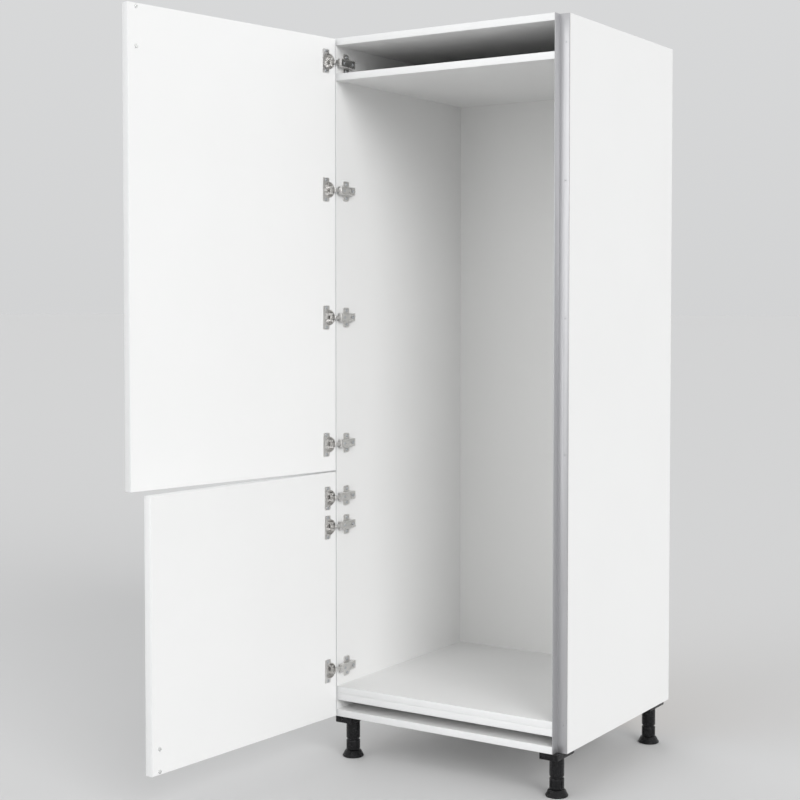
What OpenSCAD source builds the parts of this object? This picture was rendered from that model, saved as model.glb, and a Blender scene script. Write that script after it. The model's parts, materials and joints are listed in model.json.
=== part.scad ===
// Tall appliance housing cabinet with two doors hinged on the left, a vertical grip recess
// at the front right corner and four height-adjustable feet.
// The origin lies on the floor that the appliance stands on, midway between the carcass's flanks
// and midway between its front and rear edges. The front faces -Y.

/* [Carcass] */
// Width over both side panels
carcass_w = 600; // [500:10:900]
// Depth from the front edge to the rear face
carcass_d = 560; // [480:10:620]
// Height of the carcass, without its feet
carcass_h = 1560; // [1550:5:1800]
// Thickness of the coated boards
board_t = 16; // [16:0.5:19]
// Thickness of the back panel
back_t = 5; // [4:0.5:8]
// How far the back panel laps over the edge of each board
back_lap = 8; // [6:0.5:10]
// Thickness of the edge bands
band_t = 1; // [0.5:0.1:2]

/* [Interior] */
// Free height between the bottom board and the double floor
plinth_gap = 22; // [15:1:38]
// Free height of the compartment over the fixed shelf
top_gap = 64; // [56:1:300]

/* [Grip recess] */
// Width of the recess, across the front
recess_w = 25; // [20:1:35]
// Depth of the recess, behind the front edge
recess_d = 22; // [18:1:30]
// Thickness of the profile that lines the recess
profile_t = 1.5; // [1:0.1:2]
// Number of screws that hold the profile
profile_screw_n = 6; // [4:1:9]

/* [Doors] */
// Thickness of the doors
door_t = 19; // [18:0.5:22]
// Gap between a closed door and the front edge
door_gap = 3; // [2.8:0.1:5]
// Gap from the door's outline to the carcass outline
door_reveal = 1.5; // [1:0.1:2.5]
// How far the doors reach over the grip recess
door_overhang = 6.5; // [4:0.5:10]
// Height of the parting line between the doors
split_h = 570.5; // [560:0.5:640]
// Gap between the two doors
split_gap = 3; // [2:0.5:5]
// Play that a turning door's edge keeps from the carcass
door_play = 0.35; // [0.3:0.05:0.6]
// Opening angle of the upper door at rest
upper_open = 100; // [0:1:110]
// Opening angle of the lower door at rest
lower_open = 94; // [0:1:110]
// Diameter of the soft buffers on the doors
buffer_d = 8; // [6:1:10]

/* [Hinges] */
// Diameter of the hinge cup
cup_d = 35; // [33:0.5:36]
// Depth of the hinge cup
cup_depth = 13; // [12.5:0.1:14]
// Wood left between the cup and the edge of the door
cup_edge = 3; // [2:0.1:3.1]
// Wall of the hinge cup
cup_wall = 0.8; // [0.6:0.1:1]
// Thickness of the cup's flange
flange_t = 1; // [0.6:0.1:1]
// Height of the cup's flange
flange_h = 54; // [52:1:60]
// Width of the cup's flange
flange_w = 20; // [18:1:22]
// Height between the two cup screws
cup_screw_pitch = 45; // [42:1:46]
// Distance from the cup's centre to the line of its screws
cup_screw_offset = 9.5; // [8:0.5:10.5]
// Diameter of the hinge pin
hinge_pin_d = 2.4; // [2:0.1:2.6]
// Height of the arm
arm_h = 18.6; // [16:0.2:20]
// Length of the arm
arm_l = 54; // [50:1:60]
// Sheet thickness of the arm
arm_t = 1.5; // [1.2:0.1:2]
// Distance from the side panel to the top of the arm
arm_rise = 12.5; // [11.5:0.5:14]
// Distance of the plate's screws from the front edge
plate_line = 37; // [34:0.5:40]
// Height of the mounting plate's wings
plate_h = 45; // [44:1:48]
// Width of the mounting plate's wings
plate_w = 22; // [18:1:24]
// Height between the two plate screws
plate_screw_pitch = 32; // [30:1:34]
// Height from the shelf's top face to the uppermost hinge
top_hinge_up = 25; // [24:0.5:40]
// Height from the bottom of the upper door to its lowest hinge
upper_hinge_up = 61; // [40:1:90]
// Number of hinges on the upper door
upper_hinge_n = 4; // [3:1:5]
// Height from the double floor to the lowest hinge
low_hinge_up = 41; // [34:1:70]
// Height from the top of the lower door down to its uppermost hinge
lower_hinge_down = 59; // [40:1:90]
// Height between the two upper hinges of the lower door
hinge_pair_pitch = 67; // [58:1:100]

/* [Feet] */
// Height of the feet
leg_h = 100; // [95:1:110]
// Width of the leg's head plate
head_w = 44; // [42:1:50]
// Length of the leg's head plate, from front to back
head_l = 80; // [70:1:85]
// Thickness of the leg's head plate
head_t = 14; // [12:0.5:16]
// Distance from the side of the carcass to the axis of the leg
leg_inset = 34; // [26:1:60]
// Diameter of the leg's sleeve and of the adjuster
sleeve_d = 32; // [30:1:36]
// Length of the leg's sleeve below the head plate
sleeve_l = 43; // [41:1:45]
// Height of the adjuster's knob
knob_h = 24; // [22:1:26]
// Diameter of the foot pad
pad_d = 50; // [44:1:60]
// Diameter of the adjuster's stem
stem_d = 16; // [14:1:18]

/* [Joinery] */
// Diameter of the wooden dowels
dowel_d = 8; // [6:1:8]
// Length of the wooden dowels
dowel_l = 30; // [26:1:34]
// Depth of the dowel in the side panel
dowel_in_side = 11; // [9:0.5:12]
// Diameter of the cam locks
cam_d = 15; // [14:0.5:16]
// Distance from the end of a board to its cam lock
cam_in = 34; // [30:1:36]
// Distance from the front and rear edges to the cam locks
cam_line = 100; // [95:1:140]
// Distance from a cam lock to its dowel
dowel_pitch = 32; // [25:1:64]

/* [Hidden] */
$fn = 48;

// Cutting allowance, so that a hole runs past the face it opens in
eps = 1;
// Radial play of a fixed piece in its hole
fit = 0.1;
// Radial play of a piece that turns or slides
run_fit = 0.05;
// Depth that a blind hole has beyond what it holds
hole_rest = 0.5;

// Outline of the carcass in plan
outer_x = carcass_w / 2;
inner_x = outer_x - board_t;
front_y = -carcass_d / 2;
rear_y = carcass_d / 2;
back_y = rear_y - back_t;
notch_x = outer_x - recess_w;
notch_y = front_y + recess_d;

// Undersides of the boards, counted from the top of the double floor
bottom_z = -3 * board_t - plinth_gap;
carcass_top = bottom_z + carcass_h;
floor_lower_z = bottom_z + board_t + plinth_gap;
floor_upper_z = floor_lower_z + board_t;
floor_top = floor_upper_z + board_t;
top_z = carcass_top - board_t;
shelf_top = top_z - top_gap;
shelf_z = shelf_top - board_t;
board_floors = [bottom_z, floor_lower_z, floor_upper_z, shelf_z, top_z];
// Boards that are joined to the sides, and whether their cams open upwards
jointed_boards = [[bottom_z, false], [floor_lower_z, false], [shelf_z, true], [top_z, true]];

// Doors, drawn shut
door_left = -outer_x + door_reveal;
door_right = notch_x + door_overhang;
door_inner = front_y - door_gap;
door_outer = door_inner - door_t;
split_z = bottom_z + split_h;
lower_door_z = [bottom_z + door_reveal, split_z - split_gap / 2];
upper_door_z = [split_z + split_gap / 2, carcass_top - door_reveal];

// Hinges. The eye lies just inside the cup's wall, and the pivot lies as deep in the door as the
// corner of the door needs to turn in front of the carcass.
pin_r = hinge_pin_d / 2;
eye_r = pin_r + 1;
eye_half = 4.5;
eye_play = 0.3;
cup_x = door_left + cup_edge + cup_d / 2;
cup_r = cup_d / 2 - fit;
cup_bore_r = cup_r - cup_wall;
cup_sagitta = cup_bore_r - sqrt(cup_bore_r * cup_bore_r - eye_half * eye_half);
pivot_in = cup_edge + fit + cup_wall + cup_sagitta + eye_play + eye_r;
turn_gap = door_gap - door_play;
pivot_deep = (pivot_in * pivot_in - turn_gap * turn_gap) / (2 * turn_gap);
pivot_x = door_left + pivot_in;
pivot_y = door_inner - pivot_deep;
cup_screw_x = cup_x + cup_screw_offset;
flange_x = cup_screw_x - flange_w / 2;
upper_top_hinge = shelf_top + top_hinge_up;
upper_low_hinge = upper_door_z[0] + upper_hinge_up;
upper_hinges = [
    for (i = [0 : upper_hinge_n - 1])
        upper_low_hinge + i * (upper_top_hinge - upper_low_hinge) / (upper_hinge_n - 1)
];
lower_top_hinge = lower_door_z[1] - lower_hinge_down;
lower_hinges = [floor_top + low_hinge_up, lower_top_hinge - hinge_pair_pitch, lower_top_hinge];
all_hinges = concat(lower_hinges, upper_hinges);
ear_gap = 0.3;
ear_h = 5;
ear_drop = 1.8;
pin_half = 8.4;
pin_fit = 0.02;
flange_corner = 3;
flange_lip = 0.5;
neck_half = 4;
neck_t = 1.8;
neck_drop = 1.5;
neck_reach = 11.5;
neck_x = pivot_x + neck_reach;
neck_w = 4;
arm_back = 4;
arm_front = front_y + arm_back;
arm_top = -inner_x + arm_rise;
arm_under = arm_top - arm_t;
arm_front_wall = 2;
plate_t = 2.5;
plate_corner = 4;
plate_y = front_y + plate_line;
arm_edge = -inner_x + plate_t + hole_rest;
rib_play = 0.5;
rib_back = 6;
rib_half = arm_h / 2 - arm_t - rib_play;
rib_front = arm_front + rib_back;
fixing_screw_in = 9;
fixing_screw_y = arm_front + arm_l - fixing_screw_in;
setting_screw_in = 12;
setting_screw_y = arm_front + setting_screw_in;
arm_screw_r = 2;
fixing_head_r = 4;
fixing_head_h = 1.6;
setting_head_r = 3;
setting_head_h = 1;
plate_screw_r = 2.5;
plate_screw_in = 11;
plate_head_r = 3.6;
plate_head_h = 1.6;
cup_screw_r = 1.75;
cup_screw_l = 13;
cup_head_r = 3.6;
cup_head_h = 1;

// Doors' buffers
buffer_in = 14;
buffer_x = notch_x - buffer_in;
buffer_play = 0.4;
buffer_t = door_gap - buffer_play;
upper_buffers = [shelf_z + board_t / 2, top_z + board_t / 2];
lower_buffers = [bottom_z + board_t / 2, floor_upper_z];

// Joinery
cam_past_middle = 4.5;
cam_h = board_t / 2 + cam_past_middle;
cam_play = 0.2;
cam_x = inner_x - cam_in;
cam_slot_l = 9;
cam_slot_w = 1.6;
cam_slot_deep = 1.5;
bolt_r = 3.5;
bolt_thread_r = 2.5;
bolt_in_side = 11;
bolt_past_cam = 2;
cam_ys = [front_y + cam_line, rear_y - cam_line];
dowel_ys = [front_y + cam_line + dowel_pitch, rear_y - cam_line - dowel_pitch];
floor_screw_grip = 12;
floor_screw_l = board_t + floor_screw_grip;
floor_screw_r = 2;
floor_head_r = 4;
floor_head_h = 2.2;
floor_screw_side = 85;
floor_screw_line = 110;
floor_screw_xs = [-inner_x + floor_screw_side, 0, inner_x - floor_screw_side];
floor_screw_ys = [front_y + floor_screw_line, rear_y - floor_screw_line];
back_screw_r = 1.5;
back_screw_grip = 10;
back_screw_l = back_t + back_screw_grip;
back_head_r = 2.9;
back_head_h = 1.6;
back_screw_n = 6;
back_screw_x = inner_x + back_lap / 2;
back_screw_end = 60;
profile_screw_r = 1.75;
profile_screw_l = 25;
profile_head_r = 3.2;
profile_screw_end = 60;
profile_screw_x = outer_x - board_t / 2;

// Feet
leg_x = outer_x - leg_inset;
leg_y = carcass_d / 2 - head_l / 2;
head_low = bottom_z - head_t;
ground_z = bottom_z - leg_h;
sleeve_z = head_low - sleeve_l;
groove_h = 3;
knob_top = sleeve_z - groove_h;
knob_low = knob_top - knob_h;
knob_bevel = 2;
grip_slot_n = 8;
grip_slot_w = 2.2;
grip_slot_deep = 1;
grip_slot_end = 5;
pad_neck_h = 2.5;
pad_top = knob_low - pad_neck_h;
pad_lip = 2;
pad_edge_h = 5;
pad_round_r = 2.5;
pad_taper = 1;
stem_r = stem_d / 2;
stem_top = head_low - 1;
plug_wall = 4;
plug_r = stem_r + plug_wall;
plug_l = 9;
plug_play = 0.3;
sleeve_roof = 4;
sleeve_rim = 1.5;
collar_step = 2.5;
collar_r = sleeve_d / 2 - collar_step;
collar_up = 0.5;
collar_play = 0.3;
collar_room = 4.5;
spigot_r = 9;
spigot_l = 6;
head_screw_r = 2;
head_screw_head_r = 4;
head_screw_head_h = 2.2;
head_screw_grip = 11;
head_screw_l = head_t + head_screw_grip;
head_screw_edge_x = 7;
head_screw_edge_y = 8;
head_screw_dx = head_w / 2 - head_screw_edge_x;
head_screw_dy = head_l / 2 - head_screw_edge_y;

// Turns its children about the door's pivot, opening by an angle
module swing(angle) {
    translate([pivot_x, pivot_y, 0])
        rotate([0, 0, -angle])
            translate([-pivot_x, -pivot_y, 0])
                children();
}

// A round rod along X, from x0 to x1
module rod_x(x0, x1, y, z, r) {
    translate([x0, y, z])
        rotate([0, 90, 0])
            cylinder(h = x1 - x0, r = r);
}

// A round rod along Y, from y0 to y1
module rod_y(y0, y1, x, z, r) {
    translate([x, y0, z])
        rotate([-90, 0, 0])
            cylinder(h = y1 - y0, r = r);
}

// A countersunk screw along Z with its head at the bottom, pointing up
module countersunk_up(r, head_r, head_h, l) {
    cylinder(h = head_h, r1 = head_r, r2 = r);
    cylinder(h = l, r = r);
}

// A block given by its lowest and highest corners
module block(low, high) {
    translate(low)
        cube([high[0] - low[0], high[1] - low[1], high[2] - low[2]]);
}

// Its children at the right, and mirrored at the left
module both_sides() {
    children();
    mirror([1, 0, 0])
        children();
}

// Outline of a board that lies between the sides, in plan
module board_outline(y_end) {
    polygon([
        [-inner_x, front_y + band_t], [notch_x, front_y + band_t], [notch_x, notch_y],
        [inner_x, notch_y], [inner_x, y_end], [-inner_x, y_end]
    ]);
}

// Holes for the dowels and the cam bolts, in the ends of a board and in the side panels
module joint_bores(z) {
    mid = z + board_t / 2;
    both_sides() {
        for (y = dowel_ys)
            rod_x(inner_x + dowel_in_side - dowel_l - hole_rest, inner_x + dowel_in_side + hole_rest,
                y, mid, dowel_d / 2 + fit);
        for (y = cam_ys) {
            rod_x(cam_x, inner_x, y, mid, bolt_r + fit);
            rod_x(inner_x - eps, inner_x + bolt_in_side + hole_rest, y, mid, bolt_thread_r + fit);
        }
    }
}

// Round pockets for the cam locks, open at the hidden face of the board
module cam_pockets(z, opens_up) {
    both_sides()
        for (y = cam_ys)
            translate([cam_x, y, opens_up ? z + board_t - cam_h - cam_play : z - eps])
                cylinder(h = cam_h + cam_play + eps, r = cam_d / 2 + fit);
}

// A board joined to the sides, with its holes
module jointed_board(z, opens_up, y_end) {
    difference() {
        translate([0, 0, z])
            linear_extrude(board_t)
                board_outline(y_end);
        joint_bores(z);
        cam_pockets(z, opens_up);
    }
}

// The recess in which the back panel lies
module back_rabbet() {
    block([-inner_x - back_lap, back_y, bottom_z + board_t - back_lap],
        [inner_x + back_lap, rear_y + eps, top_z + back_lap]);
}

// Every hole that the back panel's screws need
module back_screw_places() {
    for (s = [-1, 1], i = [0 : back_screw_n - 1])
        translate([s * back_screw_x, rear_y,
                bottom_z + back_screw_end + i * (carcass_h - 2 * back_screw_end) / (back_screw_n - 1)])
            rotate([90, 0, 0])
                children();
    for (s = [-1, 1], z = [bottom_z + board_t - back_lap / 2, top_z + back_lap / 2])
        translate([s * inner_x / 2, rear_y, z])
            rotate([90, 0, 0])
                children();
}

module back_screw(play) {
    countersunk_up(back_screw_r + play, back_head_r + play, back_head_h, back_screw_l + play);
}

// Places of the screws in the grip recess profile, pointing back
module profile_screw_places() {
    for (i = [0 : profile_screw_n - 1])
        translate([profile_screw_x, notch_y - profile_t,
                bottom_z + profile_screw_end
                    + i * (carcass_h - 2 * profile_screw_end) / (profile_screw_n - 1)])
            rotate([-90, 0, 0])
                children();
}

module profile_screw(play) {
    countersunk_up(profile_screw_r + play, profile_head_r + play, profile_t, profile_screw_l + play);
}

// Places of the mounting plates' screws, pointing from the side panel's inner face outwards
module plate_screw_places(heights) {
    for (z = heights, s = [-1, 1])
        translate([-inner_x + plate_t, plate_y, z + s * plate_screw_pitch / 2])
            rotate([0, -90, 0])
                children();
}

// Places of the screws through the legs' heads, pointing up: two along the inner edge and one at
// the outer edge, on the side away from the corner, so that none comes up in the grip recess
module head_screw_places() {
    for (sx = [-1, 1], sy = [-1, 1], p = [[-1, -1], [-1, 1], [1, -1]])
        translate([sx * (leg_x + p[0] * head_screw_dx), sy * (leg_y + p[1] * head_screw_dy), head_low])
            children();
}

module head_screw(play) {
    countersunk_up(head_screw_r + play, head_screw_head_r + play, head_screw_head_h, head_screw_l + play);
}

module left_side() {
    color("white")
        difference() {
            block([-outer_x, front_y + band_t, bottom_z], [-inner_x, rear_y, carcass_top]);
            back_rabbet();
            for (b = jointed_boards)
                joint_bores(b[0]);
            plate_screw_places(all_hinges)
                cylinder(h = plate_t + plate_screw_in + hole_rest, r = plate_screw_r + fit);
            back_screw_places()
                back_screw(fit);
            head_screw_places()
                head_screw(fit);
        }
}

module right_side() {
    color("white")
        difference() {
            block([inner_x, notch_y, bottom_z], [outer_x, rear_y, carcass_top]);
            back_rabbet();
            for (b = jointed_boards)
                joint_bores(b[0]);
            profile_screw_places()
                profile_screw(fit);
            back_screw_places()
                back_screw(fit);
            head_screw_places()
                head_screw(fit);
        }
}

module top_board() {
    color("white")
        difference() {
            jointed_board(top_z, true, rear_y);
            back_rabbet();
            back_screw_places()
                back_screw(fit);
        }
}

module fixed_shelf() {
    color("white")
        jointed_board(shelf_z, true, back_y);
}

module floor_screw_places() {
    for (x = floor_screw_xs, y = floor_screw_ys)
        translate([x, y, floor_lower_z])
            children();
}

module floor_screw(play) {
    countersunk_up(floor_screw_r + play, floor_head_r + play, floor_head_h, floor_screw_l + play);
}

module floor_board_upper() {
    color("white")
        difference() {
            translate([0, 0, floor_upper_z])
                linear_extrude(board_t)
                    board_outline(back_y);
            floor_screw_places()
                floor_screw(fit);
        }
}

module floor_board_lower() {
    color("white")
        difference() {
            jointed_board(floor_lower_z, false, back_y);
            floor_screw_places()
                floor_screw(fit);
        }
}

module bottom_board() {
    color("white")
        difference() {
            jointed_board(bottom_z, false, rear_y);
            back_rabbet();
            back_screw_places()
                back_screw(fit);
            head_screw_places()
                head_screw(fit);
        }
}

module back_panel() {
    color("whitesmoke")
        difference() {
            block([-inner_x - back_lap + fit, back_y, bottom_z + board_t - back_lap + fit],
                [inner_x + back_lap - fit, rear_y, top_z + back_lap - fit]);
            back_screw_places()
                back_screw(fit);
        }
}

module carcass_edge_bands() {
    color("gainsboro") {
        block([-outer_x, front_y, bottom_z], [-inner_x, front_y + band_t, carcass_top]);
        for (z = board_floors)
            block([-inner_x, front_y, z], [notch_x, front_y + band_t, z + board_t]);
    }
}

module grip_recess_profile() {
    color([0.78, 0.78, 0.79])
        difference() {
            translate([0, 0, bottom_z])
                linear_extrude(carcass_h)
                    polygon([
                        [notch_x, front_y], [notch_x + profile_t, front_y],
                        [notch_x + profile_t, notch_y - profile_t], [outer_x, notch_y - profile_t],
                        [outer_x, notch_y], [notch_x, notch_y]
                    ]);
            profile_screw_places()
                profile_screw(fit);
        }
}

module profile_screws() {
    color("silver")
        profile_screw_places()
            profile_screw(0);
}

module dowels() {
    color("burlywood")
        both_sides()
            for (b = jointed_boards, y = dowel_ys)
                rod_x(inner_x + dowel_in_side - dowel_l, inner_x + dowel_in_side,
                    y, b[0] + board_t / 2, dowel_d / 2);
}

// A cam lock with the cavity for the bolt's head and a crossed slot in its open face
module cam_lock(y, z, opens_up) {
    difference() {
        translate([cam_x, y, opens_up ? z + board_t - cam_h : z])
            cylinder(h = cam_h, r = cam_d / 2);
        rod_x(cam_x - 2 * bolt_past_cam, cam_x + cam_d, y, z + board_t / 2, bolt_r + fit);
        translate([cam_x, y, opens_up ? z + board_t : z])
            for (a = [45, 135])
                rotate([0, 0, a])
                    cube([cam_slot_l, cam_slot_w, 2 * cam_slot_deep], center = true);
    }
}

module cam_locks() {
    color("silver")
        both_sides()
            for (b = jointed_boards, y = cam_ys)
                cam_lock(y, b[0], b[1]);
}

module cam_bolts() {
    color("gray")
        both_sides()
            for (b = jointed_boards, y = cam_ys) {
                mid = b[0] + board_t / 2;
                rod_x(cam_x - bolt_past_cam, inner_x, y, mid, bolt_r);
                rod_x(inner_x - eps, inner_x + bolt_in_side, y, mid, bolt_thread_r);
            }
}

module floor_screws() {
    color("silver")
        floor_screw_places()
            floor_screw(0);
}

module back_panel_screws() {
    color("silver")
        back_screw_places()
            back_screw(0);
}

// A door leaf, drawn shut, with the bores for its hinges
module door_leaf(z_range, heights) {
    difference() {
        block([door_left + band_t, door_outer, z_range[0] + band_t],
            [door_right - band_t, door_inner, z_range[1] - band_t]);
        for (z = heights) {
            rod_y(door_inner - cup_depth - hole_rest, door_inner + eps, cup_x, z, cup_d / 2);
            for (s = [-1, 1])
                rod_y(door_inner - cup_screw_l - hole_rest, door_inner + eps,
                    cup_screw_x, z + s * cup_screw_pitch / 2, cup_screw_r + fit);
        }
    }
}

// Edge bands round a door leaf, drawn shut
module door_bands(z_range) {
    for (x = [door_left, door_right - band_t])
        block([x, door_outer, z_range[0]], [x + band_t, door_inner, z_range[1]]);
    for (z = [z_range[0], z_range[1] - band_t])
        block([door_left + band_t, door_outer, z], [door_right - band_t, door_inner, z + band_t]);
}

// Soft buffers on the inner face of a door, drawn shut
module door_buffers(heights) {
    for (z = heights)
        rod_y(door_inner, door_inner + buffer_t, buffer_x, z, buffer_d / 2);
}

// Outline of the cup's flange in the plane of the door
module flange_outline() {
    left = flange_x - cup_x;
    circle(r = cup_d / 2 + flange_lip);
    translate([left, -flange_h / 2 + flange_corner])
        square([flange_w, flange_h - 2 * flange_corner]);
    translate([left + flange_corner, -flange_h / 2])
        square([flange_w - 2 * flange_corner, flange_h]);
    for (x = [flange_corner, flange_w - flange_corner], s = [-1, 1])
        translate([left + x, s * (flange_h / 2 - flange_corner)])
            circle(r = flange_corner);
}

// A hinge cup with its flange and the two ears that hold the pin, drawn shut
module hinge_cup() {
    difference() {
        union() {
            difference() {
                union() {
                    rod_y(door_inner - cup_depth, door_inner + flange_t / 2, cup_x, 0, cup_r);
                    translate([cup_x, door_inner + flange_t, 0])
                        rotate([90, 0, 0])
                            linear_extrude(flange_t)
                                flange_outline();
                }
                rod_y(door_inner - cup_depth + cup_wall, door_inner + flange_t + eps, cup_x, 0, cup_bore_r);
            }
            intersection() {
                rod_y(door_inner - cup_depth, door_inner, cup_x, 0, cup_r);
                for (s = [-1, 1])
                    translate([pivot_x, pivot_y, s * (eye_half + ear_gap + ear_h / 2)])
                        cube([2 * eye_r, 2 * (pivot_deep - ear_drop), ear_h], center = true);
            }
        }
        translate([pivot_x, pivot_y, -pin_half - fit])
            cylinder(h = 2 * (pin_half + fit), r = pin_r + pin_fit);
        for (s = [-1, 1])
            rod_y(door_inner - eps, door_inner + flange_t + eps,
                cup_screw_x, s * cup_screw_pitch / 2, cup_screw_r + fit);
    }
}

module hinge_cups(heights) {
    for (z = heights)
        translate([0, 0, z])
            hinge_cup();
}

// Pan-head screws that hold the cups, drawn shut
module cup_screws(heights) {
    for (z = heights, s = [-1, 1]) {
        rod_y(door_inner - cup_screw_l, door_inner + flange_t,
            cup_screw_x, z + s * cup_screw_pitch / 2, cup_screw_r);
        rod_y(door_inner + flange_t, door_inner + flange_t + cup_head_h,
            cup_screw_x, z + s * cup_screw_pitch / 2, cup_head_r);
    }
}

module hinge_pins(heights) {
    for (z = heights)
        translate([pivot_x, pivot_y, z - pin_half])
            cylinder(h = 2 * pin_half, r = pin_r);
}

module upper_door() {
    color("white")
        swing(upper_open)
            door_leaf(upper_door_z, upper_hinges);
}

module upper_door_bands() {
    color("gainsboro")
        swing(upper_open)
            door_bands(upper_door_z);
}

module upper_door_buffers() {
    color("whitesmoke")
        swing(upper_open)
            door_buffers(upper_buffers);
}

module upper_hinge_cups() {
    color("silver")
        swing(upper_open)
            hinge_cups(upper_hinges);
}

module upper_cup_screws() {
    color("gray")
        swing(upper_open)
            cup_screws(upper_hinges);
}

module upper_hinge_pins() {
    color("gray")
        hinge_pins(upper_hinges);
}

module lower_door() {
    color("white")
        swing(lower_open)
            door_leaf(lower_door_z, lower_hinges);
}

module lower_door_bands() {
    color("gainsboro")
        swing(lower_open)
            door_bands(lower_door_z);
}

module lower_door_buffers() {
    color("whitesmoke")
        swing(lower_open)
            door_buffers(lower_buffers);
}

module lower_hinge_cups() {
    color("silver")
        swing(lower_open)
            hinge_cups(lower_hinges);
}

module lower_cup_screws() {
    color("gray")
        swing(lower_open)
            cup_screws(lower_hinges);
}

module lower_hinge_pins() {
    color("gray")
        hinge_pins(lower_hinges);
}

// A cross-shaped mounting plate with the rib that carries the arm
module mounting_plate() {
    difference() {
        union() {
            translate([-inner_x, plate_y, 0])
                rotate([0, 90, 0])
                    linear_extrude(plate_t) {
                        square([plate_h - 2 * plate_corner, plate_w], center = true);
                        square([plate_h, plate_w - 2 * plate_corner], center = true);
                        for (s = [-1, 1], t = [-1, 1])
                            translate([s * (plate_h / 2 - plate_corner), t * (plate_w / 2 - plate_corner)])
                                circle(r = plate_corner);
                    }
            block([-inner_x, rib_front, -rib_half], [arm_under, arm_front + arm_l, rib_half]);
        }
        for (s = [-1, 1])
            rod_x(-inner_x - eps, -inner_x + plate_t + eps,
                plate_y, s * plate_screw_pitch / 2, plate_screw_r + fit);
        for (y = [fixing_screw_y, setting_screw_y])
            rod_x(-inner_x + plate_t, arm_under + eps, y, 0, arm_screw_r + fit);
    }
}

module upper_mounting_plates() {
    color("silver")
        for (z = upper_hinges)
            translate([0, 0, z])
                mounting_plate();
}

module lower_mounting_plates() {
    color("silver")
        for (z = lower_hinges)
            translate([0, 0, z])
                mounting_plate();
}

module plate_screws() {
    color("gray")
        plate_screw_places(all_hinges) {
            translate([0, 0, -plate_head_h])
                cylinder(h = plate_head_h, r = plate_head_r);
            cylinder(h = plate_t + plate_screw_in, r = plate_screw_r);
        }
}

// A hinge arm: the eye round the pin, the bent neck and the channel over the plate's rib
module hinge_arm() {
    difference() {
        union() {
            translate([pivot_x, pivot_y, -eye_half])
                cylinder(h = 2 * eye_half, r = eye_r);
            block([pivot_x, pivot_y - neck_drop - neck_t, -neck_half],
                [neck_x + neck_w, pivot_y - neck_drop, neck_half]);
            block([neck_x, pivot_y - neck_drop - neck_t, -neck_half],
                [neck_x + neck_w, arm_front + eps, neck_half]);
            block([arm_edge, arm_front, -arm_h / 2], [arm_top, arm_front + arm_l, arm_h / 2]);
        }
        translate([pivot_x, pivot_y, -eye_half - eps])
            cylinder(h = 2 * (eye_half + eps), r = pin_r + run_fit);
        block([arm_edge - eps, arm_front + arm_front_wall, -arm_h / 2 + arm_t],
            [arm_under, arm_front + arm_l + eps, arm_h / 2 - arm_t]);
        for (y = [fixing_screw_y, setting_screw_y])
            rod_x(arm_under - eps, arm_top + eps, y, 0, arm_screw_r + fit);
    }
}

module upper_hinge_arms() {
    color("silver")
        for (z = upper_hinges)
            translate([0, 0, z])
                hinge_arm();
}

module lower_hinge_arms() {
    color("silver")
        for (z = lower_hinges)
            translate([0, 0, z])
                hinge_arm();
}

module arm_fixing_screws() {
    color("gray")
        for (z = all_hinges) {
            rod_x(arm_edge, arm_top, fixing_screw_y, z, arm_screw_r);
            rod_x(arm_top, arm_top + fixing_head_h, fixing_screw_y, z, fixing_head_r);
        }
}

module arm_setting_screws() {
    color("gray")
        for (z = all_hinges) {
            rod_x(arm_edge, arm_top, setting_screw_y, z, arm_screw_r);
            rod_x(arm_top, arm_top + setting_head_h, setting_screw_y, z, setting_head_r);
        }
}

// Places its children on the four leg axes
module at_legs() {
    for (sx = [-1, 1], sy = [-1, 1])
        translate([sx * leg_x, sy * leg_y, 0])
            children();
}

module leg_heads() {
    color([0.12, 0.12, 0.12])
        difference() {
            at_legs()
                difference() {
                    translate([-head_w / 2, -head_l / 2, head_low])
                        cube([head_w, head_l, head_t]);
                    translate([0, 0, head_low - eps])
                        cylinder(h = plug_l + plug_play + eps, r = plug_r + fit);
                }
            head_screw_places()
                head_screw(fit);
        }
}

module leg_head_screws() {
    color("gray")
        head_screw_places()
            head_screw(0);
}

// The sleeve of a leg: a plug in the head plate and a threaded bore from below
module leg_sleeve() {
    difference() {
        rotate_extrude()
            polygon([
                [0, head_low + plug_l], [plug_r, head_low + plug_l], [plug_r, head_low],
                [sleeve_d / 2, head_low], [sleeve_d / 2, sleeve_z + sleeve_rim],
                [sleeve_d / 2 - sleeve_rim, sleeve_z], [0, sleeve_z]
            ]);
        translate([0, 0, sleeve_z - eps])
            cylinder(h = sleeve_l + plug_l - sleeve_roof + eps, r = stem_r + run_fit);
        translate([0, 0, sleeve_z - eps])
            cylinder(h = collar_room + eps, r = collar_r + collar_play);
    }
}

module leg_sleeves() {
    color([0.12, 0.12, 0.12])
        at_legs()
            leg_sleeve();
}

// The adjuster: stem, collar, knob with grip slots and the spigot that holds the pad
module adjuster() {
    knob_r = sleeve_d / 2;
    difference() {
        rotate_extrude()
            polygon([
                [0, stem_top], [stem_r, stem_top],
                [stem_r, sleeve_z + collar_up], [collar_r, sleeve_z + collar_up],
                [collar_r, knob_top], [knob_r - knob_bevel, knob_top],
                [knob_r, knob_top - knob_bevel], [knob_r, knob_low + knob_bevel],
                [knob_r - knob_bevel, knob_low], [spigot_r, knob_low],
                [spigot_r, knob_low - spigot_l], [0, knob_low - spigot_l]
            ]);
        for (i = [0 : grip_slot_n - 1])
            rotate([0, 0, (i + 0.5) * 360 / grip_slot_n])
                translate([knob_r, 0, (knob_top + knob_low) / 2])
                    cube([2 * grip_slot_deep, grip_slot_w, knob_h - 2 * grip_slot_end], center = true);
    }
}

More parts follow.
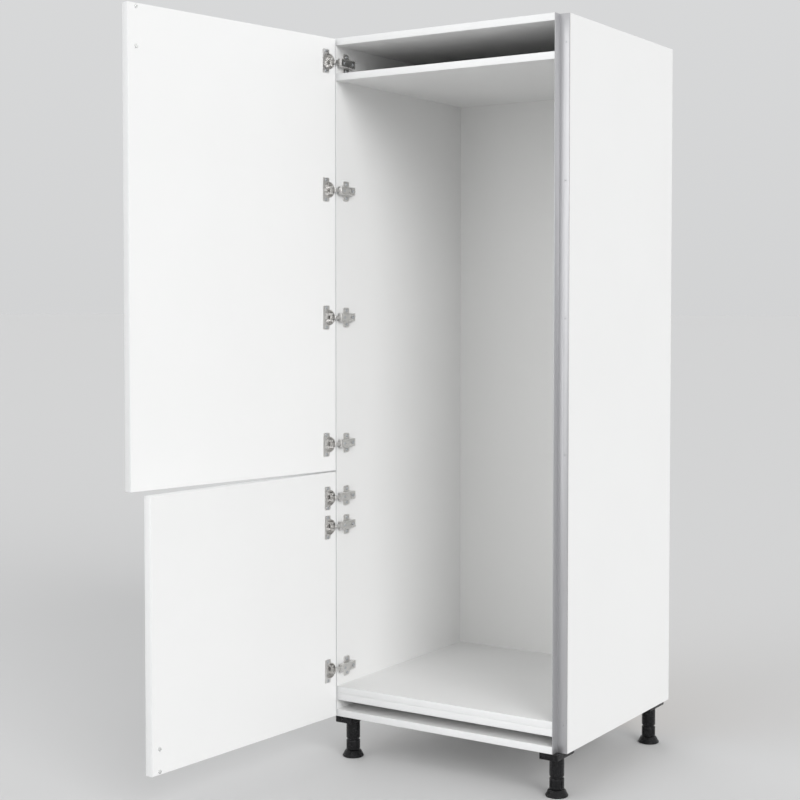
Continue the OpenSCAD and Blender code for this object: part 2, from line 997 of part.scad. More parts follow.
// The foot pad: a flared disc with a rounded edge and the socket for the adjuster's spigot
module foot_pad() {
    neck_r = sleeve_d / 2;
    pad_r = pad_d / 2;
    difference() {
        rotate_extrude()
            union() {
                polygon([
                    [0, ground_z], [pad_r - pad_round_r, ground_z],
                    [pad_r - pad_round_r, ground_z + pad_edge_h],
                    [neck_r, pad_top], [neck_r - pad_lip, pad_top],
                    [neck_r - pad_lip, knob_low], [0, knob_low]
                ]);
                translate([pad_r - pad_round_r, ground_z + pad_round_r])
                    circle(r = pad_round_r);
                polygon([
                    [pad_r - pad_round_r, ground_z + pad_round_r], [pad_r, ground_z + pad_round_r],
                    [pad_r - pad_taper, ground_z + pad_edge_h], [neck_r, pad_top], [neck_r - pad_lip, pad_top]
                ]);
            }
        translate([0, 0, knob_low - spigot_l - plug_play])
            cylinder(h = spigot_l + plug_play + eps, r = spigot_r + fit);
    }
}

module at_leg(sx, sy) {
    translate([sx * leg_x, sy * leg_y, 0])
        children();
}

module front_left_adjuster() {
    color([0.12, 0.12, 0.12]) at_leg(-1, -1) adjuster();
}

module front_right_adjuster() {
    color([0.12, 0.12, 0.12]) at_leg(1, -1) adjuster();
}

module rear_left_adjuster() {
    color([0.12, 0.12, 0.12]) at_leg(-1, 1) adjuster();
}

module rear_right_adjuster() {
    color([0.12, 0.12, 0.12]) at_leg(1, 1) adjuster();
}

module front_left_pad() {
    color([0.12, 0.12, 0.12]) at_leg(-1, -1) foot_pad();
}

module front_right_pad() {
    color([0.12, 0.12, 0.12]) at_leg(1, -1) foot_pad();
}

module rear_left_pad() {
    color([0.12, 0.12, 0.12]) at_leg(-1, 1) foot_pad();
}

module rear_right_pad() {
    color([0.12, 0.12, 0.12]) at_leg(1, 1) foot_pad();
}

left_side();
right_side();
top_board();
fixed_shelf();
floor_board_upper();
floor_board_lower();
bottom_board();
back_panel();
carcass_edge_bands();
grip_recess_profile();
profile_screws();
dowels();
cam_locks();
cam_bolts();
floor_screws();
back_panel_screws();
upper_door();
upper_door_bands();
upper_door_buffers();
upper_hinge_cups();
upper_cup_screws();
upper_hinge_pins();
lower_door();
lower_door_bands();
lower_door_buffers();
lower_hinge_cups();
lower_cup_screws();
lower_hinge_pins();
upper_mounting_plates();
lower_mounting_plates();
plate_screws();
upper_hinge_arms();
lower_hinge_arms();
arm_fixing_screws();
arm_setting_screws();
leg_heads();
leg_head_screws();
leg_sleeves();
front_left_adjuster();
front_right_adjuster();
rear_left_adjuster();
rear_right_adjuster();
front_left_pad();
front_right_pad();
rear_left_pad();
rear_right_pad();
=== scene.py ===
"""Tall appliance housing cabinet: white coated boards, two doors on seven concealed hinges, an
anodised grip recess and black height-adjustable feet.

The boards, dowels, cams, floor screws and hinge pins are the CAD nodes with new finishes. Bands,
profile, hinges, the other screws, buffers and feet are modelled here, each on the place that its
CAD node holds.
"""

import json
import math

import bmesh
import bpy
from mathutils import Matrix, Vector


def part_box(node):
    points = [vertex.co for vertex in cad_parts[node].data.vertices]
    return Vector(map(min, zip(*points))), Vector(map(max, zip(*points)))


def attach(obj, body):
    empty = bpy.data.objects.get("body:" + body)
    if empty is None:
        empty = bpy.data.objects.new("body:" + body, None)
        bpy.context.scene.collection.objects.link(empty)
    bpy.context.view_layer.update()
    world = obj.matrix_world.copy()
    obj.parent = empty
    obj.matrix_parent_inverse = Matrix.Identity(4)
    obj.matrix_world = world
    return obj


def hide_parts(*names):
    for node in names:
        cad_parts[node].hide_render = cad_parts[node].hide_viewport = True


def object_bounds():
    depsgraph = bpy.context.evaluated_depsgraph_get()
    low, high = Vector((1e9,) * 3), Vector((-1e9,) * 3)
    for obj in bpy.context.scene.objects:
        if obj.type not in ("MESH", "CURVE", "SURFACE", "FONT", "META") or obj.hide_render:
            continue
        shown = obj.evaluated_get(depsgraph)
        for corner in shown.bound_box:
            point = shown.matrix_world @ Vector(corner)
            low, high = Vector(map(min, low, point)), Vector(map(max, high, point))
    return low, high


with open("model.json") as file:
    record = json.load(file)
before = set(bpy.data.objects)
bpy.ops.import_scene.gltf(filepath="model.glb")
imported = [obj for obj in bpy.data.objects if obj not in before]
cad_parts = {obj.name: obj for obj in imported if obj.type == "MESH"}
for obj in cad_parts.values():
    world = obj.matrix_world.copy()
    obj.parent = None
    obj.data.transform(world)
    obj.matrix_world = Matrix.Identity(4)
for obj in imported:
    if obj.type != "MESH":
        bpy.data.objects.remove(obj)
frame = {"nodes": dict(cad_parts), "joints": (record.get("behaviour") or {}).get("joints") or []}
cad_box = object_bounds()

MM = 0.001
WELD = 0.001 * MM
NEARLY = 0.99
SHARP_DEG = 35
JOINTS = {joint["name"]: joint for joint in frame["joints"]}
BOARDS = ["bottom_board", "floor_board_lower", "floor_board_upper", "fixed_shelf", "top_board"]
LEGS = ["front_left", "front_right", "rear_left", "rear_right"]


# Selecting, shaping and finishing

def deselect():
    bpy.ops.object.select_all(action="DESELECT")


def pick(piece, *others):
    """Selects the pieces and makes the first one active."""
    deselect()
    for other in (piece, *others):
        other.select_set(True)
    bpy.context.view_layer.objects.active = piece


def settled(name):
    """The primitive that was just added, named, with its place in its mesh."""
    piece = bpy.context.object
    piece.name = name
    bpy.ops.object.transform_apply(location=True, rotation=True, scale=True)
    return piece


def block(name, low, high):
    low, high = Vector(low), Vector(high)
    deselect()
    bpy.ops.mesh.primitive_cube_add(size=1, location=(low + high) / 2, scale=high - low)
    return settled(name)


def rod(name, centre, radius, depth, sides=48):
    """A round bar along Z."""
    deselect()
    bpy.ops.mesh.primitive_cylinder_add(vertices=sides, radius=radius, depth=depth, location=centre)
    return settled(name)


def turned(name, rings, sides=64):
    """A round piece about Z: a disc, drawn out ring by ring to each radius and height."""
    radius, height = rings[0]
    deselect()
    bpy.ops.mesh.primitive_circle_add(vertices=sides, radius=radius, fill_type="NGON",
                                      location=(0, 0, height))
    piece = settled(name)
    bpy.ops.object.mode_set(mode="EDIT")
    bpy.ops.mesh.select_all(action="SELECT")
    for next_radius, next_height in rings[1:]:
        rise = (0, 0, next_height - height)
        bpy.ops.mesh.extrude_region_move(TRANSFORM_OT_translate={"value": rise})
        share = next_radius / radius
        bpy.ops.transform.resize(value=(share, share, 1), center_override=(0, 0, next_height))
        radius, height = next_radius, next_height
    bpy.ops.mesh.select_all(action="SELECT")
    bpy.ops.mesh.normals_make_consistent(inside=False)
    bpy.ops.object.mode_set(mode="OBJECT")
    return piece


def edit(piece, kind, test):
    """Opens a piece for editing with the faces or edges that pass a test selected."""
    pick(piece)
    bpy.ops.object.mode_set(mode="EDIT")
    bpy.ops.mesh.select_mode(type=kind)
    bpy.ops.mesh.select_all(action="DESELECT")
    mesh = bmesh.from_edit_mesh(piece.data)
    for part in (mesh.faces if kind == "FACE" else mesh.edges):
        part.select_set(bool(test(part)))
    mesh.select_flush_mode()
    bmesh.update_edit_mesh(piece.data)


def close_edit():
    bpy.ops.object.mode_set(mode="OBJECT")


def edge_middle(edge):
    return (edge.verts[0].co + edge.verts[1].co) / 2


def edge_along(edge, axis):
    """True for a straight edge that runs along an axis, 0 to 2."""
    way = edge.verts[1].co - edge.verts[0].co
    return abs(way[axis]) > NEARLY * way.length


def everything(part):
    return True


def round_edges(piece, test, radius, segments=4):
    edit(piece, "EDGE", test)
    bpy.ops.mesh.bevel(offset=radius, segments=segments, affect="EDGES", clamp_overlap=True)
    close_edit()


def apply_modifier(piece, kind, **settings):
    pick(piece)
    modifier = piece.modifiers.new(kind.title(), kind)
    for key, value in settings.items():
        setattr(modifier, key, value)
    bpy.ops.object.modifier_apply(modifier=modifier.name)


def soften(piece, width, segments=2):
    """Small bevels on all sharp edges, no wider than the room there, and smooth shading."""
    apply_modifier(piece, "BEVEL", width=width, segments=segments, limit_method="ANGLE",
                   angle_limit=math.radians(SHARP_DEG), harden_normals=False)
    weld(piece)
    smooth(piece)


def smooth(piece, degrees=SHARP_DEG):
    pick(piece)
    bpy.ops.object.shade_smooth_by_angle(angle=math.radians(degrees))


def weld(piece):
    """Merges the doubled points that a bevel, a union or a cut leaves."""
    edit(piece, "EDGE", everything)
    bpy.ops.mesh.remove_doubles(threshold=WELD)
    close_edit()


def combine(piece, tool, operation):
    """Unites a piece with a tool, or cuts or trims it with one. The tool goes."""
    apply_modifier(piece, "BOOLEAN", object=tool, operation=operation, solver="EXACT")
    bpy.data.objects.remove(tool)
    weld(piece)
    return piece


def united(piece, *others):
    for other in others:
        combine(piece, other, "UNION")
    return piece


def cut(piece, *tools):
    for tool in tools:
        combine(piece, tool, "DIFFERENCE")
    return piece


def moved(piece, matrix):
    piece.data.transform(matrix)
    piece.data.update()
    return piece


def copies(name, master, places):
    """One piece made of a copy of the master at each place. The master goes."""
    parts = []
    for place in places:
        part = master.copy()
        part.data = master.data.copy()
        bpy.context.scene.collection.objects.link(part)
        parts.append(moved(part, place))
    bpy.data.objects.remove(master)
    return joined(name, parts)


def joined(name, parts):
    pick(*parts)
    if len(parts) > 1:
        bpy.ops.object.join()
    piece = bpy.context.object
    piece.name = name
    return piece


def finished(piece, material, body, slot, *nodes):
    """Gives a piece its finish and its body, and lets it stand for its CAD nodes."""
    piece.data.materials.clear()
    piece.data.materials.append(material)
    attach(piece, body)
    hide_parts(*nodes)
    return piece


# Reading the frame

def solid_boxes(node, undo=None):
    """Lowest and highest corner of each separate solid of a CAD node, from the bottom up.

    With undo, the node's points are turned back by that matrix first, as for a door drawn shut.
    """
    mesh = bmesh.new()
    mesh.from_mesh(frame["nodes"][node].data)
    if undo is not None:
        mesh.transform(undo)
    bmesh.ops.remove_doubles(mesh, verts=mesh.verts, dist=WELD)
    left = set(mesh.verts)
    boxes = []
    while left:
        reached = [left.pop()]
        points = []
        while reached:
            vert = reached.pop()
            points.append(vert.co.copy())
            for edge in vert.link_edges:
                other = edge.other_vert(vert)
                if other in left:
                    left.remove(other)
                    reached.append(other)
        low = Vector([min(p[i] for p in points) for i in range(3)])
        high = Vector([max(p[i] for p in points) for i in range(3)])
        boxes.append((low, high))
    mesh.free()
    return sorted(boxes, key=lambda box: tuple(round(box[0][axis], 4) for axis in (2, 0, 1)))


def opening(joint_name):
    """The turn that takes a door from shut, which is its joint's low limit, to where it rests."""
    joint = JOINTS[joint_name]
    pivot = Vector(joint["pos_m"])
    rest_deg = joint["range_deg"][0]
    turn = Matrix.Rotation(math.radians(rest_deg), 4, "Z")
    return Matrix.Translation(pivot) @ turn @ Matrix.Translation(-pivot)


DOORS = {
    "upper": opening("upper_door_hinge"),
    "lower": opening("lower_door_hinge"),
}
PIVOT = Vector(JOINTS["upper_door_hinge"]["pos_m"])
LEFT_LOW, LEFT_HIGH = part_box("left_side")
BAND_LOW, BAND_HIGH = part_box("carcass_edge_bands")
PROFILE_LOW, PROFILE_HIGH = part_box("grip_recess_profile")
FLOOR_Z = cad_box[0].z
BAND_T = 1 * MM
PLATE_LINE = 37 * MM
PLATE_T = 2.5 * MM
RECESS_SHANK_R, RECESS_HEAD_H = 1.75 * MM, 1.5 * MM
LEG_SHANK_R, LEG_HEAD_H = 2.0 * MM, 2.2 * MM
PLUG_R = 12 * MM


# Finishes

def material_of(name, color, roughness, metallic=0.0, **constants):
    """A new material: its node tree, its shader and the object coordinates come with it."""
    material = bpy.data.materials.new(name)
    material.use_nodes = True
    tree = material.node_tree
    shader = tree.nodes["Principled BSDF"]
    shader.inputs["Base Color"].default_value = (*color, 1)
    shader.inputs["Roughness"].default_value = roughness
    shader.inputs["Metallic"].default_value = metallic
    for socket, value in constants.items():
        shader.inputs[socket.replace("_", " ")].default_value = value
    place = tree.nodes.new("ShaderNodeTexCoord").outputs["Object"]
    return material, tree, shader, place


def stretched(tree, place, scale):
    """Object coordinates, scaled differently along each axis."""
    mapping = tree.nodes.new("ShaderNodeMapping")
    mapping.inputs["Scale"].default_value = scale
    tree.links.new(place, mapping.inputs["Vector"])
    return mapping.outputs["Vector"]


def noise(tree, place, scale, detail=3.0):
    node = tree.nodes.new("ShaderNodeTexNoise")
    node.inputs["Scale"].default_value = scale
    node.inputs["Detail"].default_value = detail
    tree.links.new(place, node.inputs["Vector"])
    return node.outputs["Fac"]


def spread(tree, factor, low, high):
    """A number that runs from low to high with the middle range of a noise."""
    noise_low, noise_high = 0.3, 0.7
    node = tree.nodes.new("ShaderNodeMapRange")
    node.inputs["From Min"].default_value = noise_low
    node.inputs["From Max"].default_value = noise_high
    node.inputs["To Min"].default_value = low
    node.inputs["To Max"].default_value = high
    tree.links.new(factor, node.inputs["Value"])
    return node.outputs["Result"]


def two_colors(tree, factor, first, second):
    node = tree.nodes.new("ShaderNodeMix")
    node.data_type = "RGBA"
    for socket, value in (("A", first), ("B", second)):
        plug = next(s for s in node.inputs if s.name == socket and s.type == "RGBA")
        if isinstance(value, tuple):
            plug.default_value = (*value, 1)
        else:
            tree.links.new(value, plug)
    tree.links.new(factor, node.inputs["Factor"])
    return next(s for s in node.outputs if s.type == "RGBA")


def bumped(tree, shader, height, strength, depth):
    node = tree.nodes.new("ShaderNodeBump")
    node.inputs["Strength"].default_value = strength
    node.inputs["Distance"].default_value = depth
    tree.links.new(height, node.inputs["Height"])
    tree.links.new(node.outputs["Normal"], shader.inputs["Normal"])


def across(tree, thin_way, limit=0.7):
    """1 on the two faces that a board's thin way points through, and 0 on its edges and bores."""
    normal = tree.nodes.new("ShaderNodeTexCoord").outputs["Normal"]
    dot = tree.nodes.new("ShaderNodeVectorMath")
    dot.operation = "DOT_PRODUCT"
    dot.inputs[1].default_value = thin_way
    tree.links.new(normal, dot.inputs[0])
    size = tree.nodes.new("ShaderNodeMath")
    size.operation = "ABSOLUTE"
    tree.links.new(dot.outputs["Value"], size.inputs[0])
    step = tree.nodes.new("ShaderNodeMath")
    step.operation = "GREATER_THAN"
    step.inputs[1].default_value = limit
    tree.links.new(size.outputs[0], step.inputs[0])
    return step.outputs[0]


def coated_board(name, thin_way, white, roughness):
    """Chipboard with a white pearl-grained coat on both faces and bare chips on its cut edges."""
    material, tree, shader, place = material_of(name, white, roughness)
    chips_per_metre = 420
    chips = tree.nodes.new("ShaderNodeTexVoronoi")
    chips.inputs["Scale"].default_value = chips_per_metre
    tree.links.new(place, chips.inputs["Vector"])
    dark_chip, light_chip = (0.50, 0.38, 0.25), (0.68, 0.56, 0.40)
    core = two_colors(tree, chips.outputs["Color"], dark_chip, light_chip)
    shade = spread(tree, noise(tree, place, scale=3.0), 0.0, 1.0)
    duller = 0.985
    duller_white = tuple(c * duller for c in white)
    coat = two_colors(tree, shade, white, duller_white)
    face = across(tree, thin_way)
    tree.links.new(two_colors(tree, face, core, coat), shader.inputs["Base Color"])
    clouds = noise(tree, place, scale=9.0, detail=5.0)
    handled = spread(tree, clouds, roughness - 0.05, roughness + 0.06)
    tree.links.new(handled, shader.inputs["Roughness"])
    pearl_grain = noise(tree, place, scale=1100.0, detail=2.0)
    bumped(tree, shader, pearl_grain, strength=0.10, depth=0.04 * MM)
    return material


def edge_band_painted_shade_finish():
    # Painted shade: the band's white is set a little darker than the boards' white, so the front
    # edges read darker than the faces as shade would show them. The random tone across it is the
    # band's own.
    white = (0.78, 0.785, 0.785)
    material, tree, shader, place = material_of("edge_band_with_painted_shade", white, roughness=0.32)
    tone = spread(tree, noise(tree, place, scale=14.0), 0.0, 1.0)
    duller_white = (0.76, 0.765, 0.765)
    tree.links.new(two_colors(tree, tone, white, duller_white), shader.inputs["Base Color"])
    handled = spread(tree, noise(tree, place, scale=22.0, detail=2.0), 0.30, 0.35)
    tree.links.new(handled, shader.inputs["Roughness"])
    return material


def back_board_finish():
    """Thin fibre board, lacquered white inside and left brown at the rear."""
    white = (0.84, 0.84, 0.83)
    material, tree, shader, place = material_of("lacquered_fibre_board", white, roughness=0.5)
    fibres = noise(tree, stretched(tree, place, (1.0, 1.0, 0.35)), scale=900.0, detail=4.0)
    dark_fibre, light_fibre = (0.40, 0.28, 0.17), (0.52, 0.39, 0.26)
    brown = two_colors(tree, spread(tree, fibres, 0.0, 1.0), dark_fibre, light_fibre)
    normal = tree.nodes.new("ShaderNodeTexCoord").outputs["Normal"]
    split = tree.nodes.new("ShaderNodeSeparateXYZ")
    tree.links.new(normal, split.inputs[0])
    front = tree.nodes.new("ShaderNodeMath")
    front.operation = "LESS_THAN"
    facing_front = -0.5
    front.inputs[1].default_value = facing_front
    tree.links.new(split.outputs["Y"], front.inputs[0])
    tree.links.new(two_colors(tree, front.outputs[0], brown, white), shader.inputs["Base Color"])
    tree.links.new(spread(tree, fibres, 0.42, 0.6), shader.inputs["Roughness"])
    bumped(tree, shader, fibres, strength=0.12, depth=0.05 * MM)
    return material


def anodised_finish():
    """Satin anodised aluminium, drawn in its length, so its fine lines run up the profile."""
    grey = (0.56, 0.56, 0.57)
    material, tree, shader, place = material_of(
        "anodised_aluminium", grey, roughness=0.36, metallic=0.75)
    lines = noise(tree, stretched(tree, place, (1.0, 1.0, 0.004)), scale=2600.0, detail=2.0)
    shade = spread(tree, lines, 0.0, 1.0)
    darker_grey = (0.50, 0.50, 0.515)
    tree.links.new(two_colors(tree, shade, grey, darker_grey), shader.inputs["Base Color"])
    tree.links.new(spread(tree, lines, 0.30, 0.42), shader.inputs["Roughness"])
    bumped(tree, shader, lines, strength=0.15, depth=0.02 * MM)
    return material


def plated_finish(name, color, roughness, grain):
    """Plated steel with the faint waviness of pressing and a few dull patches."""
    material, tree, shader, place = material_of(name, color, roughness, metallic=1.0)
    patches = noise(tree, place, scale=130.0, detail=4.0)
    dull = spread(tree, patches, roughness - 0.06, roughness + 0.10)
    tree.links.new(dull, shader.inputs["Roughness"])
    tone = spread(tree, noise(tree, place, scale=70.0), 0.0, 1.0)
    shaded = 0.9
    darker = tuple(c * shaded for c in color)
    tree.links.new(two_colors(tree, tone, color, darker), shader.inputs["Base Color"])
    waves = noise(tree, place, scale=grain, detail=2.0)
    bumped(tree, shader, waves, strength=0.12, depth=0.03 * MM)
    return material


def foot_plastic_finish():
    black = (0.007, 0.007, 0.0075)
    material, tree, shader, place = material_of(
        "black_moulded_plastic", black, roughness=0.26, Specular_IOR_Level=0.25)
    tone = spread(tree, noise(tree, place, scale=40.0), 0.0, 1.0)
    paler_black = (0.011, 0.011, 0.012)
    tree.links.new(two_colors(tree, tone, black, paler_black), shader.inputs["Base Color"])
    moulded = spread(tree, noise(tree, place, scale=90.0), 0.22, 0.31)
    tree.links.new(moulded, shader.inputs["Roughness"])
    mould_grain = noise(tree, place, scale=1300.0, detail=2.0)
    bumped(tree, shader, mould_grain, strength=0.05, depth=0.008 * MM)
    return material


def buffer_finish():
    clear = (0.92, 0.93, 0.92)
    material, tree, shader, place = material_of(
        "clear_soft_plastic", clear, roughness=0.25, Transmission_Weight=0.55, IOR=1.45)
    cloudy = spread(tree, noise(tree, place, scale=400.0), 0.18, 0.34)
    tree.links.new(cloudy, shader.inputs["Roughness"])
    return material


def beech_finish():
    pale = (0.66, 0.47, 0.29)
    material, tree, shader, place = material_of("beech", pale, roughness=0.6)
    grain = noise(tree, stretched(tree, place, (0.06, 1.0, 1.0)), scale=900.0, detail=4.0)
    shade = spread(tree, grain, 0.0, 1.0)
    grain_brown = (0.54, 0.36, 0.21)
    tree.links.new(two_colors(tree, shade, pale, grain_brown), shader.inputs["Base Color"])
    bumped(tree, shader, grain, strength=0.3, depth=0.1 * MM)
    return material


WHITE = (0.83, 0.83, 0.825)
DOOR_WHITE = (0.86, 0.86, 0.855)
SIDEWAYS = (1, 0, 0)
UPWARDS = (0, 0, 1)

edge_band = edge_band_painted_shade_finish()
anodised = anodised_finish()
nickel = plated_finish("nickel_plated_steel", (0.80, 0.79, 0.775), roughness=0.30, grain=500.0)
zinc = plated_finish("zinc_plated_steel", (0.66, 0.68, 0.70), roughness=0.30, grain=900.0)
foot_plastic = foot_plastic_finish()
clear_plastic = buffer_finish()


def dress_cad_nodes():
    """New finishes on the CAD nodes whose shape stays."""
    upright = coated_board("coated_side", SIDEWAYS, WHITE, roughness=0.40)
    level = coated_board("coated_shelf", UPWARDS, WHITE, roughness=0.40)
    looks = {"left_side": upright, "right_side": upright, "back_panel": back_board_finish(),
             "dowels": beech_finish(), "cam_locks": zinc, "cam_bolts": zinc, "floor_screws": zinc,
             "upper_hinge_pins": zinc, "lower_hinge_pins": zinc}
    for board in BOARDS:
        looks[board] = level
    for door, turn in DOORS.items():
        thin_way = turn.to_3x3() @ Vector((0, 1, 0))
        looks[door + "_door"] = coated_board(door + "_door_coat", thin_way, DOOR_WHITE,
                                             roughness=0.34)
    for node, material in looks.items():
        mesh = frame["nodes"][node].data
        mesh.materials.clear()
        mesh.materials.append(material)


# Edge bands

def strip(name, low, high, rounded, radius=0.7 * MM):
    """A band with the long edges on its outer side rounded. rounded is the axis and the side."""
    axis, side = rounded
    piece = block(name, low, high)
    outer = high[axis] if side > 0 else low[axis]
    round_edges(piece, lambda e: all(abs(v.co[axis] - outer) < WELD for v in e.verts), radius, 3)
    smooth(piece)
    return piece


def carcass_bands():
    front, rear = BAND_LOW.y, BAND_HIGH.y
    forwards = (1, -1)
    strips = [strip("side_band", (LEFT_LOW.x, front, LEFT_LOW.z),
                    (LEFT_HIGH.x, rear, LEFT_HIGH.z), forwards)]
    for board in BOARDS:
        low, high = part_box(board)
        strips.append(strip(board + "_band", (low.x, front, low.z),
                            (PROFILE_LOW.x, rear, high.z), forwards))
    piece = joined("carcass_front_bands", strips)
    finished(piece, edge_band, "carcass", "edge_band", "carcass_edge_bands")


def door_bands(door, turn):
    """Bands round the four edges of a door, rounded to the outside, modelled with the door shut."""
    node = door + "_door_bands"
    low, high = solid_boxes(node, turn.inverted())[0]
    inner_low, inner_high = solid_boxes(door + "_door", turn.inverted())[0]
    piece = block(door + "_door_band_frame", low, high)
    rounding = 0.8 * MM
    round_edges(piece, everything, rounding, 3)
    reach = Vector((0, 5 * MM, 0))
    cut(piece, block("leaf", inner_low - reach, inner_high + reach))
    smooth(piece)
    moved(piece, turn)
    finished(piece, edge_band, door + "_door_leaf", "edge_band", node)


# Grip recess

def recess_profile():
    """An angle that lines the recess: one leg along the boards' ends, one across the side panel."""
    low, high = PROFILE_LOW, PROFILE_HIGH
    thick = 1.5 * MM
    corner = high.y - thick
    leg = (high.x - low.x - thick, 0, 0)
    piece = block("recess_profile", low, (low.x + thick, high.y, high.z))
    edit(piece, "FACE", everything)
    bpy.ops.mesh.bisect(plane_co=(0, corner, 0), plane_no=(0, 1, 0))
    close_edit()
    edit(piece, "FACE", lambda f: f.normal.x > NEARLY and f.calc_center_median().y > corner)
    bpy.ops.mesh.extrude_region_move(TRANSFORM_OT_translate={"value": leg})
    close_edit()
    soften(piece, 0.35 * MM)
    seats(piece, "profile_screws", (1, -1), RECESS_SHANK_R, RECESS_HEAD_H)
    finished(piece, anodised, "carcass", "recess_profile", "grip_recess_profile")


# Screws

def cross_recess(width, arm, depth):
    """A crossed, tapering tool, whose top lies just over the head's face."""
    over = 0.3 * MM
    tool = block("recess", (-width, -arm, -depth), (width, arm, over))
    other = block("recess_b", (-arm, -width, -depth), (arm, width, over))
    united(tool, other)
    taper = 0.45
    edit(tool, "FACE", lambda f: f.normal.z < -NEARLY)
    bpy.ops.transform.resize(value=(taper, taper, 1), center_override=(0, 0, -depth))
    close_edit()
    return tool


def screw(head_r, head_h, shank_r, length, flat):
    """A cross-recessed screw along Z with the top of its head at the origin."""
    tip = min(3 * shank_r, length * 0.3)
    if flat:
        edge, rounding = 0.15 * MM, 0.05 * MM
        head = [(shank_r, -head_h), (head_r - edge, -edge), (head_r, -rounding),
                (head_r - rounding, 0)]
    else:
        head = [(shank_r, -head_h), (head_r, -head_h), (head_r, -0.45 * head_h),
                (0.93 * head_r, -0.2 * head_h), (0.72 * head_r, 0)]
    piece = turned("screw", [(0.35 * shank_r, -length), (shank_r, tip - length)] + head, 32)
    width, arm, depth = 0.13 * head_r + 0.1 * MM, 0.55 * head_r, min(0.8 * head_h, 1.3 * MM)
    cut(piece, cross_recess(width, arm, depth))
    smooth(piece)
    return piece


def screw_places(node, way, turn=None):
    """Head radius, length and places of a node's screws, with their heads pointing a way.

    The way is an axis, 0 to 2, and its sign.
    """
    axis, side = way
    boxes = solid_boxes(node, turn.inverted() if turn else None)
    low, high = boxes[0]
    others = [i for i in range(3) if i != axis]
    out = Vector([side if i == axis else 0 for i in range(3)])
    tilt = out.to_track_quat("Z", "Y").to_matrix().to_4x4()
    places = []
    for box_low, box_high in boxes:
        spot = (box_low + box_high) / 2
        spot[axis] = box_high[axis] if side > 0 else box_low[axis]
        places.append(Matrix.Translation(spot) @ tilt)
    head_r = (high[others[0]] - low[others[0]]) / 2
    length = high[axis] - low[axis]
    return head_r, length, places


def screw_set(name, node, way, body, shank_r, head_h, flat=False, turn=None, finish=zinc):
    head_r, length, places = screw_places(node, way, turn)
    piece = copies(name, screw(head_r, head_h, shank_r, length, flat), places)
    if turn:
        moved(piece, turn)
    return finished(piece, finish, body, "screw_metal", node)


def seats(piece, node, way, shank_r, head_h):
    """Bores and countersinks in a piece for the flat-headed screws of a node."""
    head_r, length, places = screw_places(node, way)
    play = 0.12 * MM
    over = 1 * MM
    rings = [(shank_r + play, -length), (shank_r + play, -head_h), (head_r + play, 0),
             (head_r + play, over)]
    cut(piece, copies("seats", turned("seat", rings, 32), places))


def all_screws():
    rightwards, forwards, backwards, downwards = (0, 1), (1, -1), (1, 1), (2, -1)
    for door, turn in DOORS.items():
        screw_set(door + "_cup_screw_set", door + "_cup_screws", backwards, door + "_door_leaf",
                  shank_r=1.75 * MM, head_h=1.0 * MM, turn=turn)
    screw_set("plate_screw_set", "plate_screws", rightwards, "carcass",
              shank_r=2.5 * MM, head_h=1.6 * MM)
    screw_set("fixing_screw_set", "arm_fixing_screws", rightwards, "carcass",
              shank_r=2.0 * MM, head_h=1.6 * MM)
    screw_set("setting_screw_set", "arm_setting_screws", rightwards, "carcass",
              shank_r=2.0 * MM, head_h=1.0 * MM)
    screw_set("recess_screw_set", "profile_screws", forwards, "carcass",
              RECESS_SHANK_R, RECESS_HEAD_H, flat=True, finish=anodised)
    screw_set("back_screw_set", "back_panel_screws", backwards, "carcass",
              shank_r=1.5 * MM, head_h=1.6 * MM, flat=True)
    screw_set("leg_screw_set", "leg_head_screws", downwards, "carcass",
              LEG_SHANK_R, LEG_HEAD_H, flat=True)


# Hinges, modelled with the doors shut and the hinge pin on the Z axis

def on_pin(box):
    """A box of a hinge piece, moved to a hinge whose pin is the Z axis, with its middle at Z 0."""
    low, high = box
    shift = Vector((PIVOT.x, PIVOT.y, (low.z + high.z) / 2))
    return low - shift, high - shift


